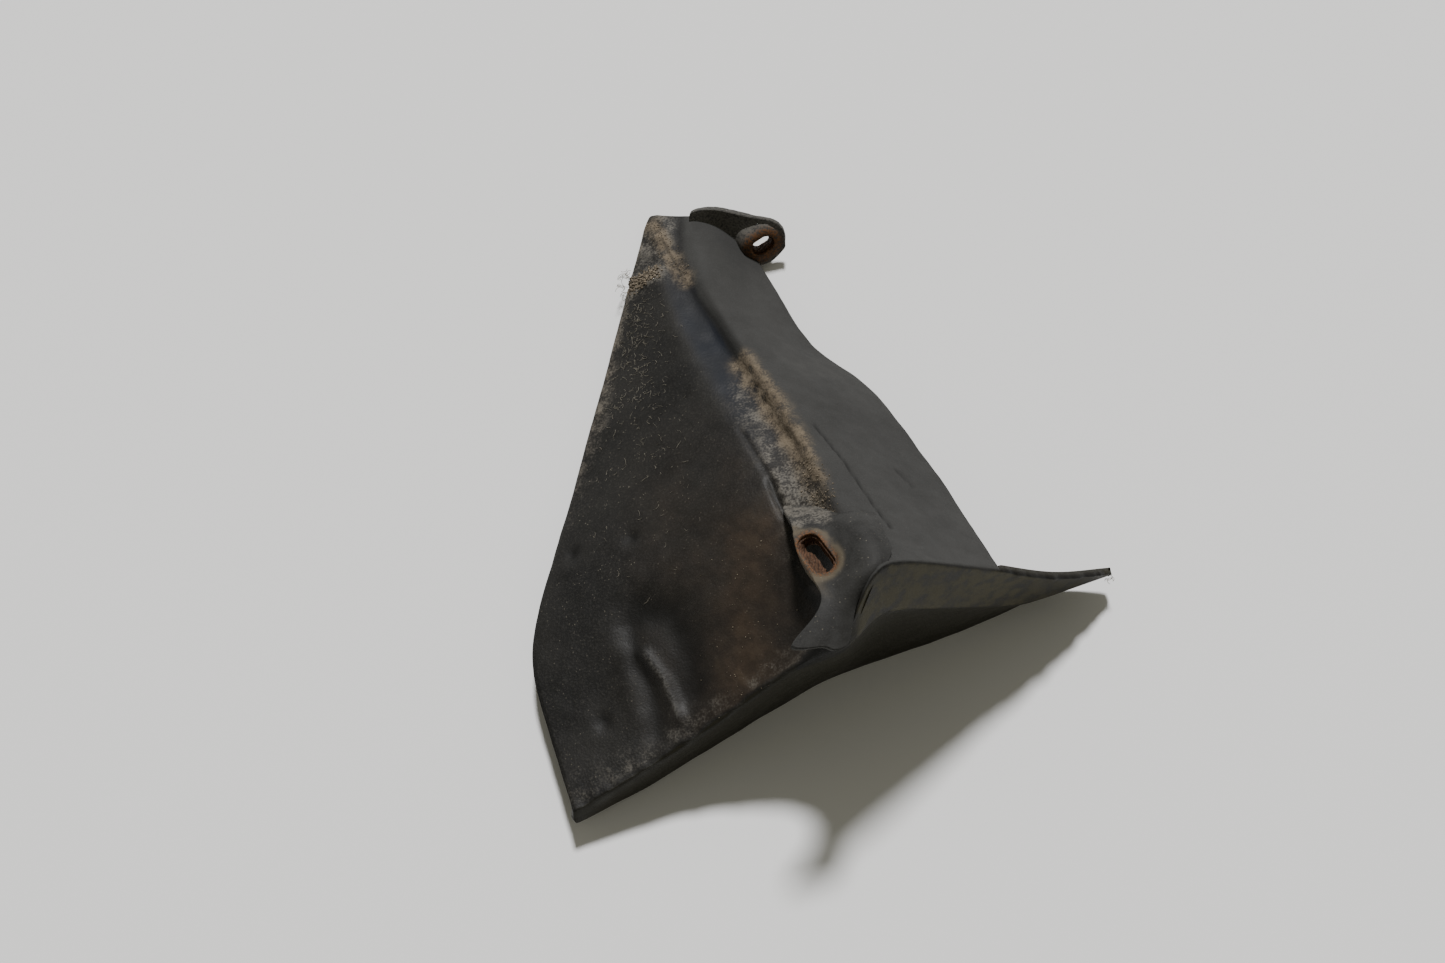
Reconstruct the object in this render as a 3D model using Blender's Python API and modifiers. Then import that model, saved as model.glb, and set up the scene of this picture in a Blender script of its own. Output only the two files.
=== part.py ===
"""Mud flap: one moulded rubber shell with two steel-lined fixing slots.

Metres, +Z up. The flap lies outer side up on its front wall and its upper tab.
+Y runs from the front wall to the narrow back end, +X from the flat edge to the tail.
"""
import math

import bmesh
import bpy
from mathutils import Matrix, Vector

MM = 0.001

# Rubber
RUBBER_THICKNESS = 3.0 * MM
GAP = 0.3 * MM                    # clearance between touching pieces
WELD_DISTANCE = 0.01 * MM
FOLD_CREASE = 0.85                # how sharp the fold above the front wall is

# Guide lines of the outer face, from the back edge to the front fold, millimetres.
LEFT_EDGE = [(-75, 138, 4), (-79, 117, 5), (-84, 95, 6), (-91, 60, 7), (-98, 28, 9),
             (-104, 0, 10), (-111, -32, 13), (-120, -67, 13), (-113, -93, 13), (-99, -135, 15)]
PANEL_MIDDLE = [(-71, 138, 6), (-74, 118, 8), (-76, 93, 13), (-73, 58, 20), (-70, 27, 27),
                (-68, 3, 31), (-67, -24, 35), (-66, -53, 35), (-61, -77, 31), (-54, -110, 28)]
SHOULDER = [(-68, 137, 7), (-70, 118, 10), (-68, 91, 19), (-55, 56, 33), (-41, 25, 45),
            (-33, 5, 53), (-24, -16, 61), (-16, -38, 65), (-11, -60, 62), (-7, -86, 60)]
VALLEY = [(-60, 136, 8), (-62, 117, 12), (-52, 86, 21), (-35, 51, 32), (-25, 30, 42),
          (-15, 8, 51), (-7, -15, 61), (-2, -36, 68), (2, -62, 72), (3, -92, 81)]
RIDGE = [(-54, 135, 10), (-54, 111, 20), (-50, 87, 30), (-34, 49, 45), (-23, 24, 56),
         (-12, -2, 67), (-5, -24, 77), (3, -47, 89), (8, -60, 95), (11, -71, 100)]
PANEL_CREST = [(-46, 134, 9), (-45, 112, 17), (-40, 90, 24), (-23, 53, 39), (-10, 34, 48),
               (1, 5, 60), (8, -18, 71), (15, -41, 83), (19, -55, 91), (20, -65, 99)]
RIGHT_EDGE = [(-33, 126, 6), (-26, 116, 2), (-17, 94, 10), (-5, 62, 20), (18, 50, 20),
              (30, 25, 28), (43, -1, 38), (50, -18, 45), (57, -36, 52), (64, -53, 59)]

# Tail of the front wall beyond the right edge, top line.
TAIL_TOP = [(79, -50, 45), (93, -46, 33), (115, -35, 13)]

# Front wall below the fold, one point per column from the left tip to the tail.
STRIP_LOW = [(-99, -136, 13), (-76, -124, 20), (-54, -112, 26), (-30, -99, 42), (-7, -88, 58),
             (4, -93, 78), (12, -81, 76), (20, -75, 72), (44, -65, 51), (66, -56, 29),
             (81, -49.5, 17), (95, -43.5, 15), (115, -35, 12)]
WALL_TOP = [(-99, -137, 11), (-76, -124, 12), (-54, -111, 17), (-30, -98, 32), (-6, -86, 48),
            (5, -87, 66), (14, -74, 64), (24, -69, 60), (45, -63, 43), (67, -54, 22),
            (82, -47.5, 12), (96, -41, 11), (115, -34.6, 11)]
WALL_BOTTOM = [(-98, -138, 9), (-77, -124, 2), (-55, -110, 0), (-31, -94, 0), (-5, -78, 0),
               (6, -73, 0), (16, -69, 0), (28, -65, 0), (46, -58.5, 0), (68, -49, 0),
               (82, -42, 0), (97, -36, 2), (115, -34, 8.5)]

# Lower ear, from its buried root to its foot: free edge, slot line, floor, buried border.
EAR_EDGE = [(-20, -29, 61), (-16.5, -41, 79), (-15, -54, 81), (-11, -66, 83.5),
            (-5, -77, 87), (-11, -87, 89), (-18, -95, 91)]
EAR_SLOT_LINE = [(-11, -30, 65), (-8, -42, 81.5), (-6.5, -54, 83), (-4, -66, 85),
                 (-1.5, -77, 88), (-6, -88, 88.5), (-11, -97, 89)]
EAR_FLOOR = [(-2, -33, 69), (1, -44, 83.5), (3, -56, 85), (5, -68, 87), (3, -78, 91),
             (-1, -89, 88), (-4, -97, 87)]
EAR_BORDER = [(4, -38, 75), (6, -49, 88), (10, -58, 92.5), (12, -68, 96.5), (7.5, -79.5, 93.5),
              (4.5, -87.5, 87.5), (3, -94, 85.5)]

# Upper tab: foot line under the back edge of the panel and its top line.
TAB_FOOT = [(-55, 131, 5), (-47, 130, 4), (-40, 127, 2), (-33, 121, 1), (-26, 115.5, 0),
            (-19.5, 119.5, 2.5), (-15, 122.5, 6.5)]
TAB_TOP = [(-57, 137, 12), (-47, 137.5, 14.5), (-38, 135, 15.5), (-29, 131, 17), (-20.5, 130, 17.5),
           (-15.5, 127.5, 14), (-14.5, 124.5, 10)]

# Steel linings: slot centre, outward direction, slot direction and slot size.
LOWER_SLOT = dict(centre=(-6.9, -57.6, 83.5), normal=(-0.20, 0.10, 0.975),
                  along=(0.51, -0.84, 0.19), spacing=9.5, radius=3.5)
UPPER_SLOT = dict(centre=(-25, 122, 9), normal=(0.17, -0.83, 0.53),
                  along=(0.83, 0.41, 0.38), spacing=3.5, radius=2.4)
SLEEVE_WALL = 0.8                 # millimetres from here down, as the slots above
FLANGE_WIDTH = 1.0
FLANGE_THICKNESS = 0.8
SEAT_MARGIN = 0.6
SEAT_THICKNESS = 3.2
WASHER_THICKNESS = 1.0
CUT_REACH = 6.0
HOLE_MARGIN = 1.0                 # how far the hole's cutter passes the seat on each side
SLEEVE_OVERLAP = 0.2              # how far the sleeve reaches into its flange
ARC_STEPS = 8                     # edges in each round end of a slot


def clear_scene():
    for thing in list(bpy.data.objects):
        bpy.data.objects.remove(thing, do_unlink=True)


def new_collection(name):
    group = bpy.data.collections.new(name)
    bpy.context.scene.collection.children.link(group)
    return group


def material(name, colour, metallic, roughness):
    made = bpy.data.materials.new(name)
    made.use_nodes = True
    shader = made.node_tree.nodes["Principled BSDF"]
    shader.inputs["Base Color"].default_value = (*colour, 1.0)
    shader.inputs["Metallic"].default_value = metallic
    shader.inputs["Roughness"].default_value = roughness
    return made


def halfway(first, second):
    """The line midway between two guide lines."""
    return [tuple((a + b) / 2 for a, b in zip(p, q)) for p, q in zip(first, second)]


def grid_mesh(lines):
    """Quads between neighbouring lines of a grid; a line may run on past the one before."""
    bm = bmesh.new()
    rows = []
    for line in lines:
        rows.append([bm.verts.new(Vector(point) * MM) for point in line])
    for row, following in zip(rows, rows[1:]):
        for a, b, c, d in zip(row, row[1:], following[1:], following):
            bm.faces.new((d, c, b, a))
    return bm, rows


def finish_mesh(bm, name):
    mesh = bpy.data.meshes.new(name)
    bm.to_mesh(mesh)
    bm.free()
    mesh.shade_smooth()
    return mesh


def add_object(name, mesh, group, surface=None):
    thing = bpy.data.objects.new(name, mesh)
    group.objects.link(thing)
    if surface:
        mesh.materials.append(surface)
    return thing


def thicken(thing, levels):
    """Smooth the cage, then give it the rubber's thickness on its inner side."""
    smooth = thing.modifiers.new("smooth cage", "SUBSURF")
    smooth.levels = smooth.render_levels = levels
    solid = thing.modifiers.new("rubber thickness", "SOLIDIFY")
    solid.thickness = RUBBER_THICKNESS
    solid.offset = -1.0
    solid.use_even_offset = True


def join(thing, other, operation):
    step = thing.modifiers.new(f"{operation.lower()} {other.name}", "BOOLEAN")
    step.operation = operation
    step.object = other
    step.solver = "EXACT"


def flap_cage():
    """The outer face: both panels with the gutter between, then the front wall and tail."""
    columns = [LEFT_EDGE, halfway(LEFT_EDGE, PANEL_MIDDLE), PANEL_MIDDLE,
               halfway(PANEL_MIDDLE, SHOULDER), SHOULDER, VALLEY, RIDGE, PANEL_CREST,
               halfway(PANEL_CREST, RIGHT_EDGE), RIGHT_EDGE]
    stations = [list(row) for row in zip(*columns)]
    fold = stations[-1] + TAIL_TOP
    wall_middle = halfway(WALL_TOP, WALL_BOTTOM)
    lines = stations[:-1] + [fold, STRIP_LOW, WALL_TOP, wall_middle, WALL_BOTTOM]
    bm, rows = grid_mesh(lines)
    crease = bm.edges.layers.float.new("crease_edge")
    fold_row = rows[len(stations) - 1]
    for a, b in zip(fold_row, fold_row[1:]):
        bm.edges.get((a, b))[crease] = FOLD_CREASE
    return finish_mesh(bm, "flap_body")


def slot_frame(slot):
    """Matrix with X along the slot and Z out of the face."""
    out = Vector(slot["normal"]).normalized()
    side = out.cross(Vector(slot["along"])).normalized()
    turn = Matrix((side.cross(out), side, out)).transposed().to_4x4()
    return Matrix.Translation(Vector(slot["centre"]) * MM) @ turn


def add_obround(curve, spacing, radius):
    """One closed outline: two half circles, centres `spacing` apart."""
    half = spacing / 2
    points = []
    for end in (1, -1):
        for i in range(ARC_STEPS + 1):
            angle = (i / ARC_STEPS - 0.5) * math.pi + (0 if end > 0 else math.pi)
            points.append((end * half + radius * math.cos(angle), radius * math.sin(angle)))
    spline = curve.splines.new("POLY")
    spline.points.add(len(points) - 1)
    for knot, (x, y) in zip(spline.points, points):
        knot.co = (x * MM, y * MM, 0.0, 1.0)
    spline.use_cyclic_u = True


def slot_plate(name, slot, outer, inner, low, high, group, surface=None):
    """A flat plate round the slot, from `low` to `high` along the slot's own axis."""
    curve = bpy.data.curves.new(name, "CURVE")
    curve.dimensions = "2D"
    curve.fill_mode = "BOTH"
    curve.extrude = (high - low) / 2 * MM
    add_obround(curve, slot["spacing"], outer)
    if inner:
        add_obround(curve, slot["spacing"], inner)
    outline = bpy.data.objects.new(name + "_outline", curve)
    group.objects.link(outline)
    bpy.context.view_layer.update()
    mesh = bpy.data.meshes.new_from_object(outline)
    bpy.data.objects.remove(outline, do_unlink=True)
    bpy.data.curves.remove(curve)
    bm = bmesh.new()
    bm.from_mesh(mesh)
    bmesh.ops.remove_doubles(bm, verts=bm.verts, dist=WELD_DISTANCE)
    bmesh.ops.recalc_face_normals(bm, faces=bm.faces)
    bm.to_mesh(mesh)
    bm.free()
    mesh.materials.clear()
    mesh.name = name
    plate = add_object(name, mesh, group, surface)
    plate.matrix_world = slot_frame(slot) @ Matrix.Translation((0, 0, (high + low) / 2 * MM))
    return plate


def line_slot(sheet, body, slot, where, group, cutters, steel):
    """A flat rubber seat with a hole in it, lined by a flanged sleeve and a washer."""
    sleeve = slot["radius"] + SLEEVE_WALL
    flange = sleeve + FLANGE_WIDTH
    seat = flange + SEAT_MARGIN
    gap = GAP / MM
    back = -SEAT_THICKNESS
    washer_top = back - gap
    washer_low = washer_top - WASHER_THICKNESS
    join(sheet, slot_plate(where + "_seat", slot, seat, 0, back, 0, cutters), "UNION")
    for label, outer, low, high in (("front", seat + gap, 0, CUT_REACH),
                                    ("rear", seat + gap, back - CUT_REACH, back),
                                    ("hole", sleeve + gap, back - HOLE_MARGIN, HOLE_MARGIN)):
        join(sheet, slot_plate(f"{where}_{label}_cut", slot, outer, 0, low, high, cutters),
             "DIFFERENCE")
    eyelet = slot_plate(where + "_eyelet", slot, sleeve, slot["radius"], washer_low,
                        gap + SLEEVE_OVERLAP, group, steel)
    join(eyelet, slot_plate(where + "_flange", slot, flange, slot["radius"], gap,
                            gap + FLANGE_THICKNESS, cutters), "UNION")
    slot_plate(where + "_washer", slot, flange, sleeve + gap, washer_low, washer_top, group,
               steel)
    join(body, slot_plate(where + "_clearance", slot, flange + gap, 0, washer_low - gap,
                          2 * gap + FLANGE_THICKNESS, cutters), "DIFFERENCE")


def centre_on_floor(things):
    """Put the origin under the middle of the assembly's box."""
    bpy.context.view_layer.update()
    graph = bpy.context.evaluated_depsgraph_get()
    points = []
    for thing in things:
        if thing.hide_render:
            continue
        shape = thing.evaluated_get(graph)
        points += [shape.matrix_world @ v.co for v in shape.to_mesh().vertices]
        shape.to_mesh_clear()
    low = Vector(min(p[i] for p in points) for i in range(3))
    high = Vector(max(p[i] for p in points) for i in range(3))
    shift = Vector((-(low.x + high.x) / 2, -(low.y + high.y) / 2, -low.z))
    for thing in things:
        thing.matrix_world = Matrix.Translation(shift) @ thing.matrix_world


def main():
    clear_scene()
    group = new_collection("mud_flap")
    cutters = new_collection("cutters")
    rubber = material("black_rubber", (0.03, 0.03, 0.03), 0.0, 0.7)
    steel = material("rusted_steel", (0.22, 0.09, 0.04), 0.6, 0.7)

    body = add_object("flap_body", flap_cage(), group, rubber)
    thicken(body, 1)
    for where, lines, slot in (
            ("upper", (TAB_FOOT, halfway(TAB_FOOT, TAB_TOP), TAB_TOP), UPPER_SLOT),
            ("lower", (EAR_EDGE, EAR_SLOT_LINE, EAR_FLOOR, EAR_BORDER), LOWER_SLOT)):
        bm, _ = grid_mesh(lines)
        ear = add_object(where + "_ear", finish_mesh(bm, where + "_ear"), cutters)
        thicken(ear, 1)
        line_slot(ear, body, slot, where, group, cutters, steel)
        join(body, ear, "UNION")
    weld = body.modifiers.new("weld seams", "WELD")
    weld.merge_threshold = WELD_DISTANCE

    for helper in cutters.objects:
        helper.hide_render = True
        helper.display_type = "WIRE"
    centre_on_floor([*group.objects, *cutters.objects])


main()
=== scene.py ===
"""Looks of the mud flap: fine rubber sheet, ears, rusted slot linings, dried mud and fibres.

The flap is drawn in millimetres in its own drawing frame and set down in the part's frame
by DRAWING_SHIFT. Everything rides on the one body, "root".
"""

import math
import random

import bmesh
import bpy
import numpy as np
from mathutils import Matrix, Vector, noise
from mathutils.bvhtree import BVHTree


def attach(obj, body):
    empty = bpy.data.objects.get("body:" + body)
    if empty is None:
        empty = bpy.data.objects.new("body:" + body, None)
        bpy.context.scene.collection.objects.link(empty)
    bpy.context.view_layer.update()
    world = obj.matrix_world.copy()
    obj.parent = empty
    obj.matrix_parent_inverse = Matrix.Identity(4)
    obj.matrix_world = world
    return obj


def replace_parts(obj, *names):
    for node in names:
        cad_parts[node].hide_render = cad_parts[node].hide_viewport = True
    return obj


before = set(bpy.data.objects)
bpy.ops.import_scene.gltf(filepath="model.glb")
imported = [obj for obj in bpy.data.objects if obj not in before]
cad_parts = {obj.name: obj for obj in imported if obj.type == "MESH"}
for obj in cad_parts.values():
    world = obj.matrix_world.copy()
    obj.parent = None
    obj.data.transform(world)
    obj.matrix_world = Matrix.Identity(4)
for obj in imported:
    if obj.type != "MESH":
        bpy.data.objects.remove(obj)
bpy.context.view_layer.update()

MM = 0.001
DRAWING_SHIFT = Vector((1.17, -0.25, 0.0))     # millimetres, drawing frame to part frame
SHEET_LEVELS = 4                               # subdivision levels of each piece
EAR_LEVELS = 4
LINING_LEVELS = 2
RUBBER_THICKNESS = 3.0
EAR_THICKNESS = 2.4
FOLD_CREASE = 0.92
STRIP_CREASE = 0.8
STRIP_FIRST_COLUMN = 5                         # where the strip's crease starts
DOWN = Vector((0, 0, -1))
DROP_HEIGHT = 200                              # above everything, for dropping things
GRAINS_SEED = 7
FIBRES_SEED = 8

# Guide lines of the outer face, from the back edge to the front fold.
LEFT_EDGE = [(-75, 138, 4), (-79, 117, 5), (-84, 95, 6), (-91, 60, 7), (-98, 28, 9),
             (-104, 0, 10), (-111, -32, 13), (-120, -67, 13), (-113, -93, 13), (-99, -135, 15)]
PANEL_MIDDLE = [(-71, 138, 6), (-74, 118, 8), (-76, 93, 13), (-73, 58, 20), (-70, 27, 27),
                (-68, 3, 31), (-67, -24, 35), (-66, -53, 35), (-61, -77, 31), (-54, -110, 28)]
SHOULDER = [(-68, 137, 7), (-70, 118, 10), (-68, 91, 19), (-55, 56, 33), (-41, 25, 45),
            (-33, 5, 53), (-24, -16, 61), (-16, -38, 65), (-11, -60, 62), (-7, -86, 60)]
VALLEY = [(-60, 136, 8), (-62, 117, 12), (-52, 86, 21), (-35, 51, 32), (-25, 30, 42),
          (-15, 8, 51), (-7, -15, 61), (-2, -36, 68), (2, -62, 72), (3, -92, 81)]
RIDGE = [(-54, 135, 10), (-54, 111, 20), (-50, 87, 30), (-34, 49, 45), (-23, 24, 56),
         (-12, -2, 67), (-5, -24, 77), (3, -47, 89), (8, -60, 95), (11, -71, 100)]
PANEL_CREST = [(-46, 134, 9), (-45, 112, 17), (-40, 90, 24), (-23, 53, 39), (-10, 34, 48),
               (1, 5, 60), (8, -18, 71), (15, -41, 83), (19, -55, 91), (20, -65, 99)]
RIGHT_EDGE = [(-33, 126, 6), (-26, 116, 2), (-17, 94, 10), (-5, 62, 20), (18, 50, 20),
              (30, 25, 28), (43, -1, 38), (50, -18, 45), (57, -36, 52), (64, -53, 59)]
TAIL_TOP = [(79, -50, 45), (93, -46, 33), (115, -35, 13)]

# Rows of the sheet's grid, counted from the back edge.
FOLD_ROW = 9
STRIP_ROW = 10
WALL_ROW = 11

# Front wall below the fold, one point per column from the left tip to the tail.
STRIP_LOW = [(-99, -136, 13), (-76, -124, 20), (-54, -112, 26), (-30, -99, 42), (-7, -88, 58),
             (4, -93, 78), (12, -81, 76), (20, -75, 72), (44, -65, 51), (66, -56, 29),
             (81, -49.5, 17), (95, -43.5, 15), (115, -35, 12)]
WALL_TOP = [(-99, -137, 11), (-76, -124, 12), (-54, -111, 17), (-30, -98, 32), (-6, -86, 48),
            (5, -87, 66), (14, -74, 64), (24, -69, 60), (45, -63, 43), (67, -54, 22),
            (82, -47.5, 12), (96, -41, 11), (115, -34.6, 11)]
WALL_BOTTOM = [(-98, -138, 9), (-77, -124, 2), (-55, -110, 0), (-31, -94, 0), (-5, -78, 0),
               (6, -73, 0), (16, -69, 0), (28, -65, 0), (46, -58.5, 0), (68, -49, 0),
               (82, -42, 0), (97, -36, 2), (115, -34, 8.5)]

# Lower ear from its buried root to its foot: free edge, slot line, floor, then over the ridge.
EAR_EDGE = [(-20, -27, 57), (-17, -37, 71), (-15.5, -46, 80), (-15, -54, 82), (-11.5, -65, 84.5),
            (-3.2, -76.5, 88), (-10.5, -87, 89), (-20.5, -97.5, 90)]
EAR_SLOT_LINE = [(-11, -28, 60), (-9, -38, 75), (-8, -48, 82), (-6.5, -57, 83.3),
                 (-4.5, -66, 85.5), (-1, -76.5, 88.5), (-6, -87, 88.5), (-11, -96.5, 88.5)]
EAR_FLOOR = [(-2, -33, 68), (-1, -42, 80.5), (1, -50, 84), (3, -58, 86), (3.5, -67, 88),
             (1, -76, 89.5), (-2.5, -86.5, 88), (-5, -94.4, 87)]
EAR_BORDER = [(4, -38, 78), (5, -45, 86.3), (7, -52, 89.6), (9.5, -59, 93), (8.5, -67.5, 94),
              (3, -75, 91), (0.5, -85.5, 87.5), (-2.5, -96.5, 86)]
EAR_CREST = [(9, -38, 78), (11, -45, 86.8), (12, -52, 90.6), (14.5, -60, 94.8),
             (12, -68, 97.2), (4.8, -74.5, 91.5), (2.5, -84.5, 87), (1, -94.5, 85)]
EAR_SKIRT = [(14, -37, 74), (15, -44, 82.8), (17, -53, 88.2), (20, -61, 92.8),
             (15.5, -69, 95.6), (6, -74, 90.5), (4.2, -84, 86.2), (2.5, -91.5, 84.3)]
EAR_LINES = [EAR_EDGE, EAR_SLOT_LINE, EAR_FLOOR, EAR_BORDER, EAR_CREST, EAR_SKIRT]
HOOK_FLANK = EAR_SKIRT[4:]

# Upper tab: foot line under the back edge of the panel and its top line.
TAB_FOOT = [(-55, 131, 5), (-47, 130, 4), (-40, 127, 2), (-33, 121, 1), (-26, 115.5, 0),
            (-19.5, 119.5, 2.5), (-15, 122.5, 6.5)]
TAB_TOP = [(-57, 137, 12), (-47, 137.5, 14.5), (-38, 135, 15.5), (-29, 131, 17), (-20.5, 130, 17.5),
           (-15.5, 127.5, 14), (-14.5, 124.5, 10)]

# Steel linings, as in the CAD: slot centre, outward direction, slot direction and size.
LOWER_SLOT = dict(centre=(-6.9, -57.6, 83.5), normal=(-0.20, 0.10, 0.975),
                  along=(0.51, -0.84, 0.19), spacing=9.5, radius=3.5)
UPPER_SLOT = dict(centre=(-25, 122, 9), normal=(0.17, -0.83, 0.53),
                  along=(0.83, 0.41, 0.38), spacing=3.5, radius=2.4)
SLEEVE_WALL = 0.8
SLEEVE_LOW = -4.5                              # heights from the slot's face
FLANGE_LOW = 0.32
FLANGE_HIGH = 1.1
FLANGE_WIDTH = 1.0
RING_STEPS = 28                                # edges in each round end
CUTTER_STEPS = 24
CUTTER_REACH = 9
BORE_CLEARANCE = 0.3
# How far the lower sleeve's wall leans into its bore, to which side and below what height.
LOWER_LEAN = dict(side=Vector((0.3, -0.95, 0)).normalized(), below=0.5, by=4.4)

# Marks on the outer face, in plan; the nick in the crest has its height too.
DIMPLES = [(-102, -28), (-78, -26), (-88, -100)]
LEFT_PLEAT = [(-80, -75), (-78, -86), (-75, -99)]
RIGHT_PLEAT = [(-73, -75), (-65, -86), (-61, -96), (-59, -101)]
PLEAT_VALLEY = [(-79, -65), (-72, -85), (-68, -98), (-67, -107)]
POCKET = [(-74, -59), (-62, -62), (-55, -76), (-54, -92)]
DIRT_BAND = [(-34, 32), (-27, 14), (-20, -3), (-14, -18), (-10, -32), (-8, -43)]
CREST_NICK = [(19.6, -65, 100), (22.5, -68.5, 97)]
GUTTER_MUD = [(-34, 47), (-25, 29), (-17, 10), (-10, -10), (-5, -28), (-3, -42)]
APEX_MUD = [(-73, 133), (-66, 117), (-57, 97)]
MUD_CLUMP = [(-83, 100), (-77, 103), (-71, 105)]
RISER_LINE = [(-68, 123), (-57, 95), (-45, 72), (-35, 48)]
LIFTED_EDGE = [(-35, 12), (-29, -1), (-23, -15), (-21, -22), (-18, -32)]
CREVICE = [(-23.5, -15), (-21.5, -22), (-18, -30)]
CRACK = [(-6, 9), (5, -10), (14, -31), (21, -45)]
SCRATCH = [(-68, 34), (-61, 28), (-54, 20)]
BROWN_STAIN = [(-33, -38), (-33, -61), (-30, -78), (-38, -95)]
# Painted shade in the recess beside and under the lower ear's free edge.
EAR_RECESS_SHADE = [(-18, -65), (-20, -75), (-13, -66)]
SMALL_CUT = [(26, -8), (32, -16)]
FOLD_OUTWARD = np.array([0.39, -0.92, 0.0])

# Folds through the whole sheet: line, height and reach.
PRESSED_LINES = ((LEFT_PLEAT, 0.7, 5.0), (RIGHT_PLEAT, 1.9, 2.4), (PLEAT_VALLEY, -1.1, 4.5),
                 (POCKET, -2.2, 8.0), (CREVICE, -0.6, 1.6))
# Cuts in the outer face: line, depth and reach.
CARVED_LINES = ((LIFTED_EDGE, 0.8, 0.9), (CREVICE, 1.0, 0.9), (CRACK, 0.9, 0.7),
                (SMALL_CUT, 0.4, 0.8))
# Mud built up on the outer face: line and height.
MUD_LINES = ((GUTTER_MUD, 0.5), (APEX_MUD, 0.6), (MUD_CLUMP, 1.3))
# Painted shade along creases, cracks, cuts, a scratch, the riser and the recess by the ear: line,
# strength and reach.
SHADED_LINES = ((POCKET, 0.95, 7.5), (PLEAT_VALLEY, 0.85, 4.0), (CREVICE, 0.95, 1.3),
              (LIFTED_EDGE, 0.75, 0.9), (CRACK, 0.75, 0.55), (SMALL_CUT, 0.45, 0.8),
              (RISER_LINE, 0.6, 0.8), (SCRATCH, 0.6, 0.6), (EAR_RECESS_SHADE, 0.25, 6.5))
# Hollow in the strip below the crest, and the painted shade in it: column, row, then its reach
# across and along.
PRESSED_HOLLOW = (6.9, STRIP_ROW + 0.35, 0.55, 0.28)
SHADED_HOLLOW = (6.9, STRIP_ROW + 0.22, 0.5, 0.13)
HOLLOW_DEPTH = 3.2
# Crumbs of mud: line, spread to its sides, size and how many.
CRUMBS = ((MUD_CLUMP, 4.0, 0.42, 300), (APEX_MUD, 4.5, 0.22, 160),
          (GUTTER_MUD[3:], 5.0, 0.24, 300), (BROWN_STAIN, 16.0, 0.18, 80))
# Fibres strewn on the left panel, and curls as centre and size.
FIBRE_COUNT = 330
FIBRE_POINTS = 7
FIBRE_SIDES = 5
CURLS = (((-84, 103, 9), 2.2), ((-85.5, 99, 8.5), 1.8), ((-84, 96, 8), 2.0),
         ((-83, 106, 9.5), 1.6), ((113.5, -36.5, 11.5), 1.4))
CURL_STRANDS = 5
CURL_POINTS = 12
CURL_THICKNESS = 0.09

# Colours in linear light, a darker and a lighter shade of each finish.
SHADES = {
    "rubber": ((0.0062, 0.0060, 0.0056), (0.0125, 0.0118, 0.0105)),
    "dust": ((0.028, 0.0278, 0.0268), (0.036, 0.0357, 0.034)),
    "mud": ((0.070, 0.055, 0.038), (0.145, 0.117, 0.083)),
    "dirt": ((0.034, 0.032, 0.029), (0.120, 0.110, 0.094)),
    "olive": ((0.034, 0.030, 0.013), (0.058, 0.052, 0.028)),
    "brown": ((0.026, 0.0185, 0.0125), (0.040, 0.0275, 0.017)),
    "rust stain": ((0.045, 0.022, 0.010), (0.12, 0.055, 0.022)),
    "rust": ((0.045, 0.021, 0.010), (0.095, 0.046, 0.024)),
    "crumb": ((0.06, 0.046, 0.030), (0.20, 0.165, 0.118)),
    "straw": ((0.09, 0.08, 0.058), (0.26, 0.235, 0.185)),
}
RUBBER_GRIT = (0.032, 0.030, 0.026)
DUST_GRIT = (0.054, 0.053, 0.050)
# Bluish tint of a painted reflection on the gutter's bank.
PAINTED_SHEEN = (0.005, 0.007, 0.012)
WALL_FILM = (0.014, 0.0128, 0.0068)
UNDERSIDE = (0.020, 0.0175, 0.0115)
# Pale colour of wear; also a painted highlight on the right pleat and painted light on the upper
# tab's shaded face.
WEAR_AND_LIGHT_COLOUR = (0.095, 0.090, 0.080)
HALO = (0.085, 0.070, 0.048)
FLECK = (0.15, 0.135, 0.105)
# Near-black colour of the painted shade.
PAINTED_SHADE_COLOUR = (0.004, 0.004, 0.0037)
PALE_FLAKE = (0.115, 0.076, 0.050)
RUST_SEAM = (0.018, 0.009, 0.006)
RUBBER_SPECULAR = 0.22
RUST_SPECULAR = 0.3
# How strongly the painted shade is laid on.
PAINTED_SHADE_STRENGTH = 0.85

# Stage: the camera, the sun and the room, with angles in degrees.
CAMERA_TARGET = (-42, 12, 0)
CAMERA_ELEVATION = 65
CAMERA_DISTANCE = 945
SENSOR_WIDTH = 36
LENS_LENGTH = 56.5
SUN_ELEVATION = 55
SUN_WIDTH = 8
SUN_STRENGTH = 4.5
SUN_COLOUR = (1.0, 0.995, 1.0)
ROOM_COLOUR = (1.0, 0.97, 0.80)
ROOM_STRENGTH = 0.22
FLOOR_COLOUR = (0.80, 0.80, 0.80)
FLOOR_ROUGHNESS = 0.6
FLOOR_SPECULAR = 0.2
FLOOR_HALF_SIDE = 9.0                          # metres
FLOOR_DROP = 0.0002


def halfway(first, second):
    """The line midway between two guide lines."""
    return [tuple((a + b) / 2 for a, b in zip(p, q)) for p, q in zip(first, second)]


def smoothstep(low, high, value):
    t = np.clip((value - low) / (high - low), 0.0, 1.0)
    return t * t * (3 - 2 * t)


def line_distance(points, line):
    """Distance of each point to a polyline, in as many dimensions as the line has."""
    line = np.array(line, dtype=float)
    size = line.shape[1]
    best = np.full(len(points), 1e9)
    for a, b in zip(line, line[1:]):
        run = b - a
        t = np.clip(((points[:, :size] - a) @ run) / (run @ run), 0, 1)
        best = np.minimum(best, np.linalg.norm(points[:, :size] - (a + t[:, None] * run), axis=1))
    return best


def bump_along(points, line, reach):
    """A soft ridge from 0 to 1 along a line."""
    return np.exp(-(line_distance(points, line) / reach) ** 2)


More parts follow.
